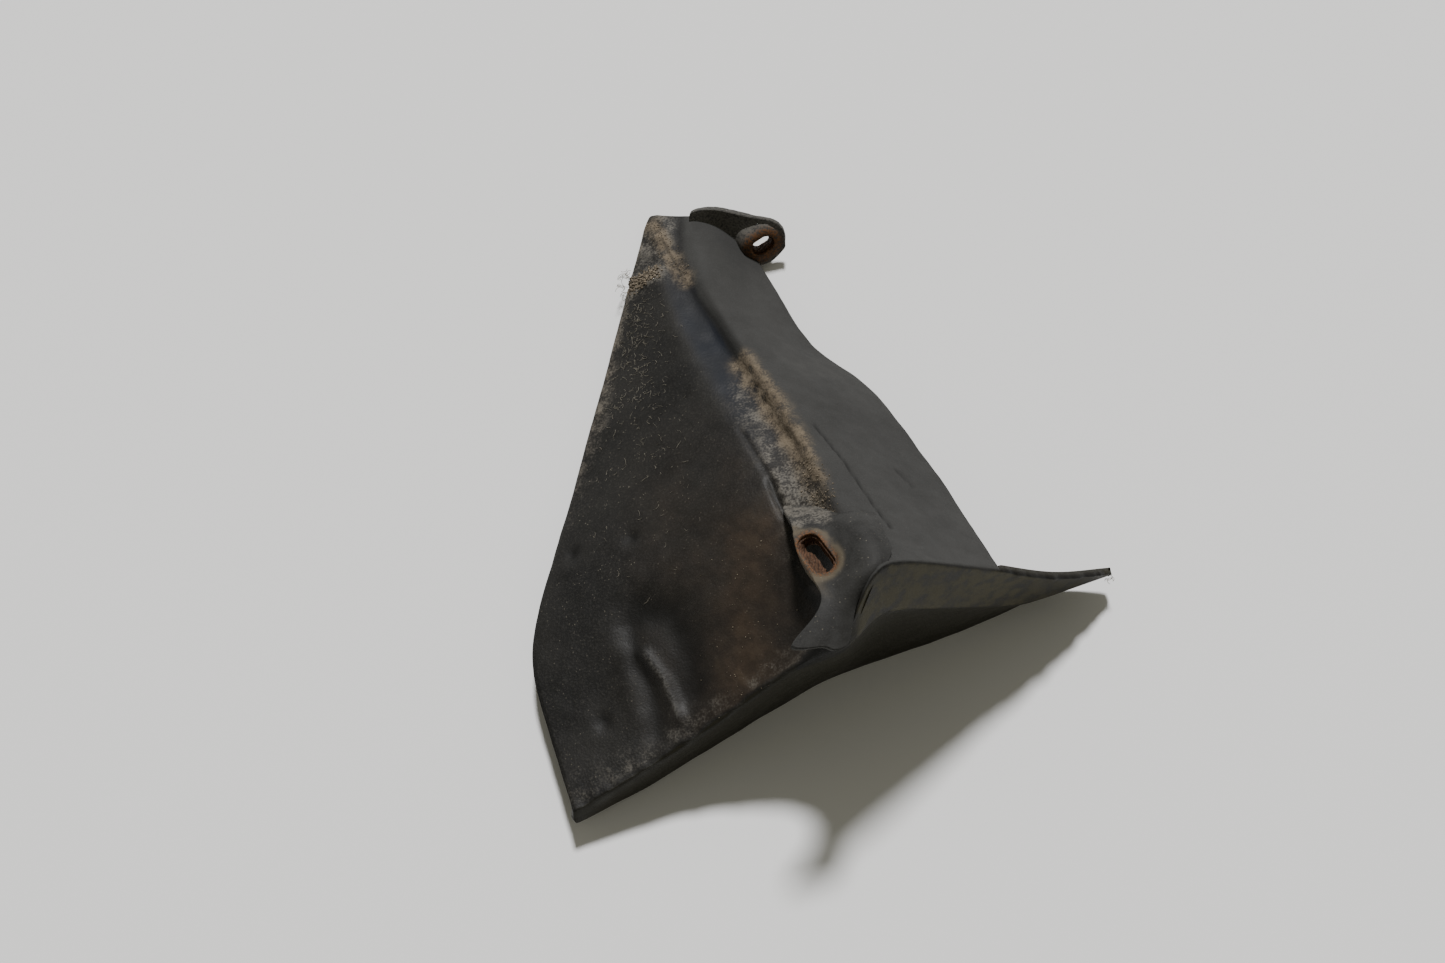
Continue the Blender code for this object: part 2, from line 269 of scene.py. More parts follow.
def bump_at(points, spots, reach):
    """Soft round spots from 0 to 1."""
    total = np.zeros(len(points))
    for spot in spots:
        total = np.maximum(total, np.exp(-(np.hypot(*(points[:, :2] - spot).T) / reach) ** 2))
    return total


def fractal(points, size, octaves=3, seed=0.0):
    """Noise from -1 to 1, `size` millimetres from lump to lump."""
    shift = Vector((seed, seed * 1.7, -seed))
    return np.array([noise.fractal(Vector(p) / size + shift, 1.0, 2.0, octaves)
                     for p in points])


def hollow(across, along, column, row, width, height):
    """A soft spot from 0 to 1 placed on the sheet's own grid."""
    return np.exp(-((across - column) / width) ** 2 - ((along - row) / height) ** 2)


def coords(mesh, normals=False):
    flat = np.empty(len(mesh.vertices) * 3)
    mesh.vertices.foreach_get("normal" if normals else "co", flat)
    return flat.reshape(-1, 3)


def set_coords(mesh, points):
    mesh.vertices.foreach_set("co", np.ascontiguousarray(points).ravel())
    mesh.update()


def read_value(mesh, name):
    values = np.empty(len(mesh.vertices))
    mesh.attributes[name].data.foreach_get("value", values)
    return values


def write_value(mesh, name, values):
    layer = mesh.attributes.get(name) or mesh.attributes.new(name, "FLOAT", "POINT")
    layer.data.foreach_set("value", np.clip(values, 0, 1).astype(np.float32))


def applied(thing):
    """The object's mesh with its modifiers applied."""
    graph = bpy.context.evaluated_depsgraph_get()
    mesh = bpy.data.meshes.new_from_object(thing.evaluated_get(graph))
    thing.modifiers.clear()
    thing.data = mesh
    return mesh


def add_object(name, data):
    thing = bpy.data.objects.new(name, data)
    bpy.context.scene.collection.objects.link(thing)
    return thing


def mesh_object(name, bm):
    """An object from a bmesh, which is freed."""
    mesh = bpy.data.meshes.new(name)
    bm.to_mesh(mesh)
    bm.free()
    return add_object(name, mesh)


def bridge(bm, loop, following):
    """Quads between two closed loops of the same number of points."""
    for corners in zip(loop, loop[1:] + loop[:1], following[1:] + following[:1], following):
        bm.faces.new(corners)


def subdivide(thing, levels):
    smooth = thing.modifiers.new("smooth", "SUBSURF")
    smooth.levels = smooth.render_levels = levels
    applied(thing)


def grid_object(name, lines, levels, creases=()):
    """A smooth sheet through a grid of guide lines, still without thickness."""
    bm = bmesh.new()
    across = bm.verts.layers.float.new("across")
    along = bm.verts.layers.float.new("along")
    crease = bm.edges.layers.float.new("crease_edge")
    rows = []
    for j, line in enumerate(lines):
        row = []
        for i, point in enumerate(line):
            vert = bm.verts.new(point)
            vert[across], vert[along] = i, j
            row.append(vert)
        rows.append(row)
    for row, following in zip(rows, rows[1:]):
        for a, b, c, d in zip(row, row[1:], following[1:], following):
            bm.faces.new((a, b, c, d))
    for index, first, strength in creases:
        for a, b in zip(rows[index][first:], rows[index][first + 1:]):
            bm.edges.get((a, b))[crease] = strength
    bmesh.ops.reverse_faces(bm, faces=bm.faces)
    thing = mesh_object(name, bm)
    subdivide(thing, levels)
    return thing


def thicken(thing, thickness):
    """Closed shell; the outer face keeps its points first in the list. Returns their number."""
    outer = len(thing.data.vertices)
    solid = thing.modifiers.new("rubber thickness", "SOLIDIFY")
    solid.thickness = thickness
    solid.offset = -1.0
    solid.use_even_offset = True
    applied(thing)
    return outer


def set_down(thing):
    """Millimetres of the drawing frame to metres of the part, then ride on the body."""
    set_coords(thing.data, (coords(thing.data) + np.array(DRAWING_SHIFT)) * MM)
    thing.data.shade_smooth()
    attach(thing, "root")
    return thing


def slot_matrix(slot):
    """Matrix with X along the slot and Z out of the face, in drawing millimetres."""
    out = Vector(slot["normal"]).normalized()
    side = out.cross(Vector(slot["along"])).normalized()
    turn = Matrix((side.cross(out), side, out)).transposed().to_4x4()
    return Matrix.Translation(Vector(slot["centre"])) @ turn


def in_slot(points, slot):
    """Points in the slot's own frame and their distance from its centre line."""
    inverse = np.array(slot_matrix(slot).inverted())
    local = points @ inverse[:3, :3].T + inverse[:3, 3]
    along = np.maximum(np.abs(local[:, 0]) - slot["spacing"] / 2, 0)
    return local, np.hypot(along, local[:, 1])


def out_of_slot(local, slot):
    """Points of the slot's own frame back in the drawing frame."""
    matrix = np.array(slot_matrix(slot))
    return local @ matrix[:3, :3].T + matrix[:3, 3]


def obround(spacing, radius, steps):
    """Points round a slot's outline, with the outward direction at each."""
    made = []
    for end in (1, -1):
        for i in range(steps + 1):
            angle = (i / steps - 0.5) * math.pi + (0 if end > 0 else math.pi)
            way = Vector((math.cos(angle), math.sin(angle), 0))
            made.append((Vector((end * spacing / 2, 0, 0)) + way * radius, way))
    return made


def ring_mesh(name, slot, profile, lean=None):
    """A closed ring round the slot with the given (radius, height) section.

    A lean pushes the sleeve's wall into the bore on one side, the more the deeper it is.
    """
    bm = bmesh.new()
    loops = []
    for radius, height in profile:
        loop = []
        for centre, way in obround(slot["spacing"], 0, RING_STEPS):
            reach = radius
            if lean and height < lean["below"] and radius < slot["radius"] + SLEEVE_WALL:
                depth = (lean["below"] - height) / (lean["below"] - SLEEVE_LOW)
                reach -= lean["by"] * depth * max(0, way.dot(lean["side"])) ** 0.7
            loop.append(bm.verts.new(centre + way * reach + Vector((0, 0, height))))
        loops.append(loop)
    for loop, following in zip(loops, loops[1:] + loops[:1]):
        bridge(bm, loop, following)
    bmesh.ops.recalc_face_normals(bm, faces=bm.faces)
    bm.transform(slot_matrix(slot))
    return mesh_object(name, bm)


def surface_finder(thing):
    return BVHTree.FromPolygons([tuple(v.co) for v in thing.data.vertices],
                                [tuple(p.vertices) for p in thing.data.polygons])


def drop_on(tree, x, y):
    """Where a bit dropped at (x, y) comes to lie, with the surface's normal there."""
    spot, normal, _, _ = tree.ray_cast(Vector((x, y, DROP_HEIGHT)), DOWN)
    return spot, normal


# ---------------------------------------------------------------- rubber sheet
def sheet_lines():
    """Rows of the sheet's grid, from the back edge over the fold to the wall's bottom."""
    columns = [LEFT_EDGE, halfway(LEFT_EDGE, PANEL_MIDDLE), PANEL_MIDDLE,
               halfway(PANEL_MIDDLE, SHOULDER), SHOULDER, VALLEY, RIDGE, PANEL_CREST,
               halfway(PANEL_CREST, RIGHT_EDGE), RIGHT_EDGE]
    stations = [list(row) for row in zip(*columns)]
    fold = stations[-1] + TAIL_TOP
    middle = halfway(WALL_TOP, WALL_BOTTOM)
    return stations[:-1] + [fold, STRIP_LOW, WALL_TOP, middle, WALL_BOTTOM]


def press_sheet(points, across, along):
    """Height of the folds pressed through the whole thickness of the sheet."""
    top = 1 - smoothstep(FOLD_ROW - 0.3, FOLD_ROW, along)
    height = 0.35 * top * fractal(points, 28, 3, 1.0)
    for line, amount, reach in PRESSED_LINES:
        height += amount * top * bump_along(points, line, reach)
    wall = smoothstep(WALL_ROW - 0.2, WALL_ROW, along)
    height += wall * 0.5 * fractal(points, 22, 2, 6.0)
    return height - HOLLOW_DEPTH * hollow(across, along, *PRESSED_HOLLOW)


def fold_wave(points, across, along):
    """Sideways waver of the left half of the fold, which isn't quite straight."""
    near = np.exp(-((along - FOLD_ROW) / 0.3) ** 2) * (1 - smoothstep(4.0, 5.0, across))
    near *= smoothstep(0.5, 2.2, across)
    waver = 1.8 * fractal(points, 14, 2, 17.0)
    return (near * waver)[:, None] * FOLD_OUTWARD


def carve_sheet(points, across, along):
    """Height to add to the outer face only: mud, dimples, cracks and a ragged fold."""
    top = 1 - smoothstep(FOLD_ROW - 0.25, FOLD_ROW, along)
    height = 0.12 * top * fractal(points, 7, 2, 4.0)
    height -= 1.3 * top * bump_at(points, DIMPLES, 3.0)
    for line, amount, reach in CARVED_LINES:
        height -= amount * top * bump_along(points, line, reach)
    lumps = 0.5 + fractal(points, 5, 3, 9.0)
    for line, amount in MUD_LINES:
        height += amount * top * bump_along(points, line, 4.0) * lumps
    ragged = np.exp(-((along - FOLD_ROW) / 0.10) ** 2)
    rough = fractal(points, 4, 3, 3.0)
    return height + ragged * rough * np.where((across < 5) | (across > 9), 0.9, 0.35)


def sheet_masks(points, across, along, outer):
    """How much of each surface finish, painted shade, painted sheen and painted highlight shows at
    each point of the sheet.
    """
    coarse, fine = fractal(points, 18, 3, 11.0), fractal(points, 5, 3, 13.0)
    top = 1 - smoothstep(FOLD_ROW - 0.06, FOLD_ROW + 0.02, along)
    strip = smoothstep(FOLD_ROW - 0.02, FOLD_ROW + 0.06, along)
    strip *= 1 - smoothstep(STRIP_ROW - 0.05, STRIP_ROW + 0.12, along)
    back = 1 - smoothstep(3.0, 5.0, along)
    right = smoothstep(5.45 - 0.45 * back, 6.15 - 0.6 * back, across + 0.1 * fine)
    bank = smoothstep(3.75, 4.25, across) * (1 - right)
    edge_mud = np.exp(-(across / 0.55) ** 2) * (1 - smoothstep(3.0, 6.5, along))
    gutter = bump_along(points, DIRT_BAND, 8.5) * (1 - right)
    masks = {
        "dusty": top * right,
        # Painted sheen: a bluish reflection tint on the gutter's bank.
        "painted_sheen": top * bank * np.exp(-((along - 3.0) / 1.9) ** 2) * (0.8 + 0.3 * coarse),
        "dirt": top * np.maximum.reduce([
            gutter * (0.55 + 0.45 * smoothstep(4.5, 6.5, along)),
            0.04 * (1 - smoothstep(3.6, 4.4, across)) * (1 + coarse),
            0.62 * (1 - smoothstep(0.9, 2.2, along)) * (1 - smoothstep(4.4, 5.2, across)),
            0.9 * bump_along(points, MUD_CLUMP, 6.0),
            0.65 * edge_mud,
            0.35 * smoothstep(FOLD_ROW - 0.6, FOLD_ROW - 0.05, along) * (across < 5),
        ]) * (0.9 + 0.6 * fine),
        "tan": top * np.maximum.reduce([
            1.0 * bump_along(points, GUTTER_MUD, 5.2) * (1 - 0.6 * smoothstep(5.2, 6.6, along)),
            0.9 * bump_along(points, APEX_MUD, 4.0),
            0.5 * bump_along(points, MUD_CLUMP, 4.0),
            0.3 * edge_mud,
        ]) * (0.9 + 0.6 * fine),
        "brown": top * (1 - right) * np.maximum(
            0.85 * bump_along(points, BROWN_STAIN, 20.0),
            0.25 * smoothstep(3.5, 6.5, along) * smoothstep(0.8, 2.4, across))
                 * (0.85 + 0.5 * coarse),
        "olive": strip * smoothstep(5.2, 5.8, across) * (0.8 + 0.4 * fine),
        "wall": smoothstep(FOLD_ROW + 0.02, FOLD_ROW + 0.12, along)
                * (1 - strip * smoothstep(5.2, 5.8, across)),
        # Painted shade in the dimples and along the shaded lines.
        "painted_shade": top * np.maximum.reduce([0.95 * bump_at(points, DIMPLES, 3.2)] + [
            strength * bump_along(points, line, reach) for line, strength, reach in SHADED_LINES]),
        # Pale wear along the crest's fold, and a painted highlight along the right pleat's ridge.
        "wear_and_painted_light": top * np.maximum(
            0.45 * bump_along(points, RIGHT_PLEAT, 1.2),
            0.8 * np.exp(-((along - FOLD_ROW) / 0.045) ** 2) * smoothstep(5.8, 6.6, across)),
        "specks": top * (1 - right) * (1 - bank) * (1 - 0.5 * smoothstep(3.0, 8.0, along))
                  * np.exp(-((across - 1.2) / 2.2) ** 2),
    }
    # More painted shade: on the wall under the tail, in the strip's hollow and along the hook's
    # flank.
    masks["painted_shade"] = np.maximum.reduce([
        masks["painted_shade"], 0.7 * (1 - top) * smoothstep(9.0, 11.5, across),
        0.9 * hollow(across, along, *SHADED_HOLLOW), 0.65 * bump_along(points, HOOK_FLANK, 2.4)])
    masks["wear_and_painted_light"] = np.maximum(masks["wear_and_painted_light"], bump_along(points, CREST_NICK, 0.8))
    for name, mask in masks.items():
        masks[name] = np.where(outer, mask, 0.0)
    masks["under"] = np.where(outer, 0.0, 1.0)
    return masks


def tuck_under(points, outer, ear):
    """Sink the sheet's outer face below the ear where the ear covers it; says where."""
    covered = np.zeros(len(points))
    tree = surface_finder(ear)
    low = coords(ear.data).min(axis=0) - 1
    high = coords(ear.data).max(axis=0) + 1
    for i in np.nonzero(outer)[0]:
        x, y, z = points[i]
        if not (low[0] < x < high[0] and low[1] < y < high[1] and z > low[2] - 4):
            continue
        hit, _ = drop_on(tree, x, y)
        if hit is not None and hit.z > z - 0.5:
            covered[i] = smoothstep(0.0, 1.0, hit.z - z)
            points[i, 2] = min(z, hit.z - 0.2 - 1.2 * smoothstep(0.0, 1.5, hit.z - z))
    return points, covered


def clear_slot(points, slot, reach, depth):
    """Push whatever stands in the slot's bore below it."""
    local, distance = in_slot(points, slot)
    inside = 1 - smoothstep(reach, reach + 2.5, distance)
    blocked = (local[:, 2] > -depth) & (local[:, 2] < 12) & (inside > 0)
    local[:, 2] = np.where(blocked, local[:, 2] + inside * (-depth - local[:, 2]), local[:, 2])
    return np.where(blocked[:, None], out_of_slot(local, slot), points)


def make_sheet(ear):
    sheet = grid_object("flap_sheet", sheet_lines(), SHEET_LEVELS,
                        creases=((FOLD_ROW, 0, FOLD_CREASE),
                                 (STRIP_ROW, STRIP_FIRST_COLUMN, STRIP_CREASE)))
    mesh = sheet.data
    points, normals = coords(mesh), coords(mesh, normals=True)
    across, along = read_value(mesh, "across"), read_value(mesh, "along")
    height = press_sheet(points, across, along)
    set_coords(mesh, points + normals * height[:, None] + fold_wave(points, across, along))
    outer_count = thicken(sheet, RUBBER_THICKNESS)
    mesh = sheet.data
    points, normals = coords(mesh), coords(mesh, normals=True)
    across, along = read_value(mesh, "across"), read_value(mesh, "along")
    outer = np.arange(len(points)) < outer_count
    height = carve_sheet(points, across, along)
    masks = sheet_masks(points, across, along, outer)
    points = points + normals * np.where(outer, height, 0.0)[:, None]
    points, covered = tuck_under(points, outer, ear)
    # Painted shade where the ear covers the sheet.
    masks["painted_shade"] = np.maximum(masks["painted_shade"], covered)
    points = clear_slot(points, LOWER_SLOT, LOWER_SLOT["radius"] + 3.5, 8.0)
    set_coords(mesh, points)
    for name, mask in masks.items():
        write_value(mesh, name, mask)
    return sheet


# ---------------------------------------------------------------- ears
def make_ear(name, lines, slot, thickness):
    """A moulded ear with a flat seat round its slot and the slot cut through it."""
    ear = grid_object(name, lines, EAR_LEVELS)
    points = coords(ear.data)
    local, distance = in_slot(points, slot)
    seat = slot["radius"] + SLEEVE_WALL + FLANGE_WIDTH
    flat = 1 - smoothstep(seat, seat + 3.0, distance)
    flat = np.where(np.abs(local[:, 2]) < 8, flat, 0)
    local[:, 2] *= 1 - flat
    set_coords(ear.data, out_of_slot(local, slot))
    outer_count = thicken(ear, thickness)
    points, normals = coords(ear.data), coords(ear.data, normals=True)
    outer = np.arange(len(points)) < outer_count
    away = smoothstep(seat, seat + 2.5, in_slot(points, slot)[1])
    lumps = 0.25 * fractal(points, 9, 3, 21.0) + 0.15 * fractal(points, 2.5, 2, 23.0)
    set_coords(ear.data, points + normals * (lumps * away * outer)[:, None])
    cutter = ring_cutter(name + "_cutter", slot)
    cut = ear.modifiers.new("slot", "BOOLEAN")
    cut.operation = "DIFFERENCE"
    cut.solver = "EXACT"
    cut.object = cutter
    applied(ear)
    bpy.data.objects.remove(cutter, do_unlink=True)
    return ear


def ring_cutter(name, slot):
    """A plug that fills the slot's bore with a little clearance round the sleeve."""
    bm = bmesh.new()
    reach = slot["radius"] + SLEEVE_WALL + BORE_CLEARANCE
    low, high = ([bm.verts.new(point + Vector((0, 0, height)))
                  for point, _ in obround(slot["spacing"], reach, CUTTER_STEPS)]
                 for height in (-CUTTER_REACH, CUTTER_REACH))
    bridge(bm, low, high)
    bm.faces.new(reversed(low))
    bm.faces.new(high)
    bmesh.ops.recalc_face_normals(bm, faces=bm.faces)
    bm.transform(slot_matrix(slot))
    return mesh_object(name, bm)


def ear_masks(ear, slot, upper):
    """Write how much of each finish, painted shade and painted light shows on the ear, or on the
    upper tab.
    """
    mesh = ear.data
    points = coords(mesh)
    _, distance = in_slot(points, slot)
    fine = fractal(points, 4, 3, 31.0)
    halo = np.exp(-((distance - slot["radius"] - 3.0) / 2.2) ** 2)
    near = np.exp(-(np.maximum(distance - slot["radius"] - 1.0, 0) / 1.8) ** 2)
    if upper:
        lip = bump_along(points, TAB_TOP, 3.4)
        # The upper tab's face lies in shade; it is painted lighter with the pale wear colour as
        # painted light, its lip less so.
        masks = {"dusty": 0.9 * np.ones(len(points)), "rusty": np.maximum(near, 0.8 * halo),
                 "wear_and_painted_light": (0.72 - 0.35 * lip) * (1 - 0.6 * near)}
    else:
        edge = bump_along(points, EAR_EDGE[2:6], 2.4)
        foot = smoothstep(-78, -86, points[:, 1])
        foot_line = [line[-1] for line in EAR_LINES[:-1]]
        masks = {"dusty": 0.5 + 0.15 * foot + 0.35 * fine, "specks": 0.7 * np.ones(len(points)),
                 "halo": 0.8 * halo + 0.9 * edge,
                 "rusty": 0.8 * near,
                 "wear_and_painted_light": np.maximum(0.5 * edge, 0.35 * bump_along(points, foot_line, 2.0)),
                 "dirt": (0.3 * smoothstep(-50, -44, points[:, 1] + 3 * fine)
                          + 0.5 * smoothstep(-46, -41, points[:, 1] + 3 * fine))
                         * (1 - smoothstep(-5, 3, points[:, 0])),
                 # Painted shade along the hook's flank.
                 "painted_shade": 0.7 * bump_along(points, HOOK_FLANK, 1.2)}
    for name, mask in masks.items():
        write_value(mesh, name, mask)


# ---------------------------------------------------------------- steel linings
def make_lining(name, slot, lean):
    """A rusted sleeve with its flange, flaking where it shows."""
    radius = slot["radius"]
    sleeve, flange = radius + SLEEVE_WALL, radius + SLEEVE_WALL + FLANGE_WIDTH
    profile = [(flange, FLANGE_LOW), (flange, 0.8), (flange - 0.3, 1.08),
               (radius + 0.5, FLANGE_HIGH), (radius + 0.1, 0.8), (radius, -0.4),
               (radius, -1.6), (radius, -3.0), (radius, SLEEVE_LOW), (sleeve, SLEEVE_LOW),
               (sleeve, FLANGE_LOW)]
    ring = ring_mesh(name, slot, profile, lean)
    subdivide(ring, LINING_LEVELS)
    points, normals = coords(ring.data), coords(ring.data, normals=True)
    flakes = 0.45 * fractal(points, 1.6, 3, 41.0)
    flakes += 0.22 * np.round(2 * fractal(points, 3, 2, 43.0))
    local, distance = in_slot(points, slot)
    seen = np.maximum(smoothstep(0.6, 0.95, local[:, 2]),
                      1 - smoothstep(radius - 0.1, radius + 0.3, distance))
    set_coords(ring.data, points + normals * (flakes * seen * 0.8)[:, None])
    return ring


# ---------------------------------------------------------------- materials
class Paint:
    """Adds nodes to one material, each call returning an output socket."""

    def __init__(self, name):
        self.material = bpy.data.materials.new(name)
        self.material.use_nodes = True
        self.tree = self.material.node_tree
        self.shader = self.tree.nodes["Principled BSDF"]
        self.place = self.node("ShaderNodeTexCoord").outputs["Object"]

    def node(self, kind, **settings):
        made = self.tree.nodes.new(kind)
        for key, value in settings.items():
            setattr(made, key, value)
        return made

    def feed(self, socket, value):
        if isinstance(value, bpy.types.NodeSocket):
            self.tree.links.new(value, socket)
        else:
            socket.default_value = value

    def noise(self, size, detail=4, roughness=0.55):
        """Noise from 0 to 1; size in millimetres."""
        made = self.node("ShaderNodeTexNoise")
        self.feed(made.inputs["Vector"], self.place)
        made.inputs["Scale"].default_value = 1 / (size * MM)
        made.inputs["Detail"].default_value = detail
        made.inputs["Roughness"].default_value = roughness
        return made.outputs["Fac"]

    def cells(self, size):
        """Distance to the nearest of scattered points; size in millimetres."""
        made = self.node("ShaderNodeTexVoronoi")
        self.feed(made.inputs["Vector"], self.place)
        made.inputs["Scale"].default_value = 1 / (size * MM)
        return made.outputs["Distance"]

    def mask(self, name):
        """A float written on the mesh's points."""
        return self.node("ShaderNodeAttribute", attribute_name=name).outputs["Fac"]

    def maths(self, kind, first, second):
        made = self.node("ShaderNodeMath", operation=kind)
        self.feed(made.inputs[0], first)
        self.feed(made.inputs[1], second)
        return made.outputs[0]

    def between(self, value, low, high, start=0.0, end=1.0):
        """A smooth step from start to end while the value goes from low to high."""
        made = self.node("ShaderNodeMapRange", interpolation_type="SMOOTHSTEP")
        self.feed(made.inputs["Value"], value)
        for key, number in (("From Min", low), ("From Max", high), ("To Min", start),
                            ("To Max", end)):
            made.inputs[key].default_value = number
        return made.outputs["Result"]

    def mix(self, amount, first, second):
        made = self.node("ShaderNodeMix", data_type="RGBA")
        self.feed(made.inputs[0], amount)
        self.feed(made.inputs[6], first)
        self.feed(made.inputs[7], second)
        return made.outputs[2]

    def shades(self, name, value, low, high):
        """From the darker to the lighter shade of a finish as the value goes up."""
        dark, light = SHADES[name]
        return self.mix(self.between(value, low, high), colour(*dark), colour(*light))

    def bump(self, height, strength, distance, below=None):
        made = self.node("ShaderNodeBump")
        self.feed(made.inputs["Height"], height)
        made.inputs["Strength"].default_value = strength
        made.inputs["Distance"].default_value = distance * MM
        if below:
            self.feed(made.inputs["Normal"], below)
        return made.outputs["Normal"]


def colour(red, green, blue):
    return (red, green, blue, 1.0)


def layer(paint, base, name, shade, lumps=None, low=0.3, high=0.6):
    """A finish over the base, as far as the mask of that name goes, in lumps if given."""
    amount = paint.mask(name)
    if lumps is not None:
        lumpy_amount = paint.maths("MULTIPLY", amount, paint.between(lumps, low, high, 0.35, 1.25))
        amount = paint.between(lumpy_amount, 0.05, 0.95)
    return paint.mix(amount, base, shade)


def weighted(paint, first, share, second):
    """Two noises added, the first with its share and the second with the rest."""
    return paint.maths("ADD", paint.maths("MULTIPLY", first, share),
                       paint.maths("MULTIPLY", second, 1 - share))


def rubber_material():
    paint = Paint("weathered_rubber")
    broad, medium, fine = paint.noise(30), paint.noise(6), paint.noise(0.9, 3)
    lumpy = weighted(paint, medium, 0.6, fine)
    silt = weighted(paint, fine, 0.45, lumpy)
    dust = paint.mix(paint.between(paint.noise(0.45, 2), 0.5, 0.72, 0, 0.4),
                     paint.shades("dust", broad, 0.3, 0.7), colour(*DUST_GRIT))

    tone = paint.mix(paint.between(fine, 0.45, 0.75, 0.0, 0.5),
                     paint.shades("rubber", broad, 0.35, 0.65), colour(*RUBBER_GRIT))
    tone = layer(paint, tone, "brown", paint.shades("brown", medium, 0.35, 0.65))
    # Painted sheen on the gutter's bank.
    tone = layer(paint, tone, "painted_sheen", colour(*PAINTED_SHEEN))
    tone = layer(paint, tone, "dusty", dust)
    tone = layer(paint, tone, "wall", colour(*WALL_FILM))
    tone = layer(paint, tone, "olive", paint.shades("olive", medium, 0.35, 0.65), medium)
    tone = layer(paint, tone, "under", colour(*UNDERSIDE))
    # Pale wear, with the painted highlight and painted light that share its mask.
    tone = layer(paint, tone, "wear_and_painted_light", colour(*WEAR_AND_LIGHT_COLOUR), fine)
    tone = layer(paint, tone, "dirt", paint.shades("dirt", silt, 0.36, 0.64), lumpy, 0.40, 0.60)
    tone = layer(paint, tone, "tan", paint.shades("mud", lumpy, 0.38, 0.62), lumpy, 0.30, 0.58)
    tone = layer(paint, tone, "halo", colour(*HALO), medium)
    tone = layer(paint, tone, "rusty", paint.shades("rust stain", fine, 0.4, 0.6), fine)
    flecks = paint.between(paint.cells(1.7), 0.10, 0.20, 1, 0)
    flecks = paint.maths("MULTIPLY", flecks, paint.between(medium, 0.45, 0.65))
    flecks = paint.maths("MULTIPLY", flecks, paint.mask("specks"))
    tone = paint.mix(flecks, tone, colour(*FLECK))
    # Painted shade, near black, laid over everything below it.
    tone = paint.mix(paint.maths("MULTIPLY", paint.mask("painted_shade"), PAINTED_SHADE_STRENGTH), tone,
                     colour(*PAINTED_SHADE_COLOUR))
    paint.feed(paint.shader.inputs["Base Color"], tone)

    dry = paint.maths("MAXIMUM", paint.mask("tan"), paint.mask("dusty"))
    rough = paint.maths("ADD", paint.between(medium, 0.3, 0.7, 0.5, 0.62),
                        paint.maths("MULTIPLY", dry, 0.25))
    paint.feed(paint.shader.inputs["Roughness"], rough)
    paint.shader.inputs["Specular IOR Level"].default_value = RUBBER_SPECULAR
    normal = paint.bump(medium, 0.35, 0.5)
    normal = paint.bump(fine, 0.5, 0.25, normal)
    crumbs = paint.maths("MULTIPLY", paint.noise(1.6, 5, 0.6),
                         paint.maths("ADD", paint.mask("tan"), 0.15))
    paint.feed(paint.shader.inputs["Normal"], paint.bump(crumbs, 0.9, 0.5, normal))
    return paint.material


def rust_material():
    paint = Paint("flaking_rust")
    broad, fine = paint.noise(3.0), paint.noise(0.6, 4, 0.7)
    seams = paint.node("ShaderNodeTexWave", wave_type="BANDS")
    paint.feed(seams.inputs["Vector"], paint.place)
    seams.inputs["Scale"].default_value = 260
    seams.inputs["Distortion"].default_value = 9
    tone = paint.mix(paint.between(fine, 0.5, 0.68), paint.shades("rust", broad, 0.35, 0.65),
                     colour(*PALE_FLAKE))
    tone = paint.mix(paint.between(seams.outputs["Fac"], 0.72, 0.9, 0, 0.7), tone,
                     colour(*RUST_SEAM))
    paint.feed(paint.shader.inputs["Base Color"], tone)
    paint.feed(paint.shader.inputs["Roughness"], paint.between(fine, 0.3, 0.7, 0.65, 0.92))
    paint.shader.inputs["Specular IOR Level"].default_value = RUST_SPECULAR
    normal = paint.bump(fine, 0.8, 0.3, paint.bump(broad, 0.6, 0.5))
    paint.feed(paint.shader.inputs["Normal"], normal)
    return paint.material


def loose_material(name, finish, size, roughness):
    """A dry finish for loose bits, mottled at the given size in millimetres."""
    paint = Paint(name)
    tone = paint.shades(finish, paint.noise(size), 0.35, 0.65)
    paint.feed(paint.shader.inputs["Base Color"], tone)
    paint.feed(paint.shader.inputs["Roughness"],
               paint.between(paint.noise(size / 2), 0.3, 0.7, roughness - 0.08, roughness + 0.08))
    paint.feed(paint.shader.inputs["Normal"], paint.bump(paint.noise(size / 3), 0.5, size / 4))
    return paint.material


# ---------------------------------------------------------------- loose bits
def along_line(line, chance):
    """A random point of a polyline."""
    spans = list(zip(line, line[1:]))
    lengths = [math.dist(a, b) for a, b in spans]
    a, b = chance.choices(spans, lengths)[0]
    t = chance.random()
    return [p + (q - p) * t for p, q in zip(a, b)]


def mud_grains(tree, finish):
    """Crumbs of dried mud, each an irregular lump pressed into the surface."""
    chance = random.Random(GRAINS_SEED)
    bm = bmesh.new()
    places = [bit for *bit, count in CRUMBS for _ in range(count)]
    for line, spread, size in places:
        x, y = along_line(line, chance)
        x += chance.gauss(0, spread / 2)
        y += chance.gauss(0, spread / 2)
        spot, normal = drop_on(tree, x, y)
        if spot is None or normal.z < 0.2:
            continue
        radius = size * chance.uniform(0.5, 1.5)
        made = bmesh.ops.create_icosphere(bm, subdivisions=1, radius=radius)
        stretch = Vector([chance.uniform(0.7, 1.4) for _ in range(3)])
        turn = Matrix.Rotation(chance.uniform(0, math.tau), 3, normal)
        for vert in made["verts"]:
            lump = 1 + 0.35 * noise.noise(vert.co * 2.3 / radius + spot)
            vert.co = turn @ (vert.co * stretch * lump) + spot + normal * radius * 0.3
    return loose_piece("dried_mud_crumbs", bm, finish)


